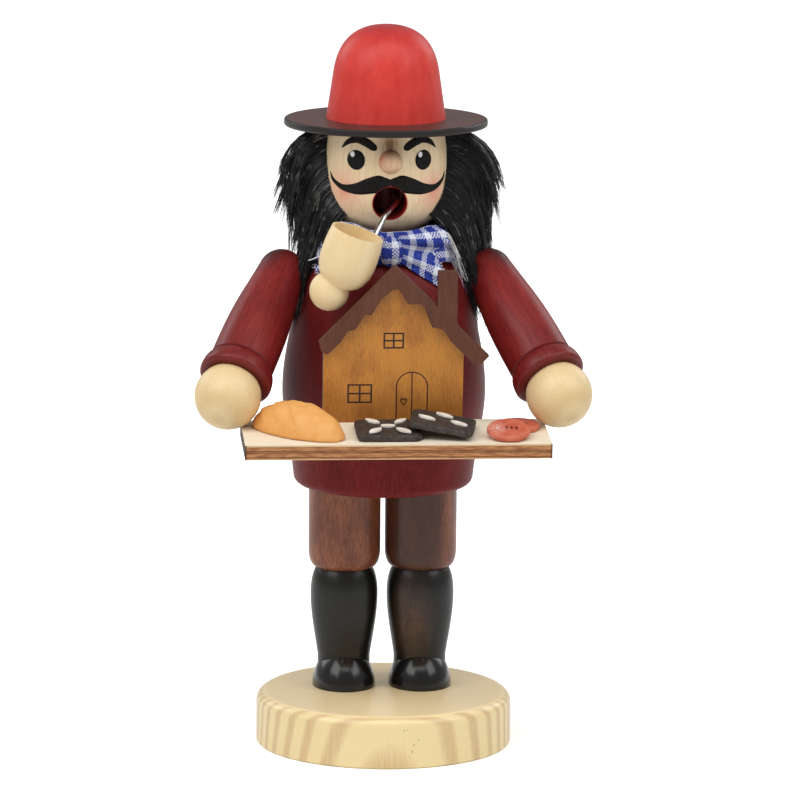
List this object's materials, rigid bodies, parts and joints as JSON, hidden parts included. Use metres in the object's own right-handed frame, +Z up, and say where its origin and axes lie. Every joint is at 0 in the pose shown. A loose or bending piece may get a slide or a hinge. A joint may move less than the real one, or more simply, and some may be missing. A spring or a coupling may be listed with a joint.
{
  "type": "incense smoker figure",
  "caption": "Turned wooden smoker figure with hat, pipe and vendor's tray. It lifts off its legs so that an incense cone can burn inside, and smoke leaves by the mouth.",
  "frame": {"origin": "centre of the round base's underside", "axes": "+Z up the figure, -Y the way the figure faces, +X to the figure's left hand"},
  "size_m": [0.1134, 0.0888, 0.2092],
  "materials": {
    "pine": "clear satin lacquer over turned pine",
    "black_lacquer": "gloss black lacquer on turned wood",
    "trouser_stain": "satin brown stain, boots stained black",
    "coat_stain": "satin burgundy stain",
    "natural_wood": "clear satin lacquer over turned pale wood",
    "face_wood": "pale lacquered wood with a painted face",
    "hat_lacquer": "satin red lacquer",
    "brim_stain": "satin dark brown stain",
    "tin": "stamped tin plate",
    "steel_wire": "bright drawn steel wire",
    "black_fur": "long straight black pile",
    "gingham": "woven blue and white check cotton",
    "plywood": "bare birch plywood with laser-burnt edges",
    "amber_plywood": "amber stained plywood with burnt lines",
    "brown_plywood": "brown stained plywood",
    "bread_clay": "matte modelling clay",
    "gingerbread_clay": "matte dark modelling clay",
    "almond_clay": "matte white modelling clay",
    "sausage_clay": "satin red modelling clay"
  },
  "bodies": {
    "stand": {"base_disc": "pine", "left_leg": "trouser_stain", "right_leg": "trouser_stain", "left_shoe": "black_lacquer", "right_shoe": "black_lacquer", "seat_disc": "natural_wood", "cone_plate": "tin", "cone_plate_tack": "tin"},
    "figure": {"coat": "coat_stain", "neck_tube": "natural_wood", "head": "face_wood", "nose": "natural_wood", "hat_brim": "brim_stain", "hat_crown": "hat_lacquer", "hat_dowel": "natural_wood", "hair": "black_fur", "neckerchief": "gingham", "left_arm": "coat_stain", "right_arm": "coat_stain", "shoulder_dowels": "natural_wood", "left_hand": "natural_wood", "right_hand": "natural_wood", "hand_dowels": "natural_wood", "tray": "plywood", "tray_dowels": "natural_wood", "house_wall": "amber_plywood", "house_roof": "brown_plywood", "bread_loaf": "bread_clay", "flat_gingerbread": "gingerbread_clay", "leaning_gingerbread": "gingerbread_clay", "flat_gingerbread_almonds": "almond_clay", "leaning_gingerbread_almonds": "almond_clay", "back_sausage_slice": "sausage_clay", "front_sausage_slice": "sausage_clay"},
    "pipe": {"pipe_bowl": "natural_wood", "pipe_ball": "natural_wood", "pipe_stem": "steel_wire"}
  },
  "joints": [
    {"name": "body_lift", "type": "slide", "parent": "stand", "child": "figure", "axis": [0, 0, 1], "range_m": [0, 0.04]},
    {"name": "pipe_swing", "type": "hinge", "parent": "figure", "child": "pipe", "pos_m": [0.0025, 0.008, 0.15962], "axis": [0, 1, 0], "range_deg": [0, 45]}
  ]
}
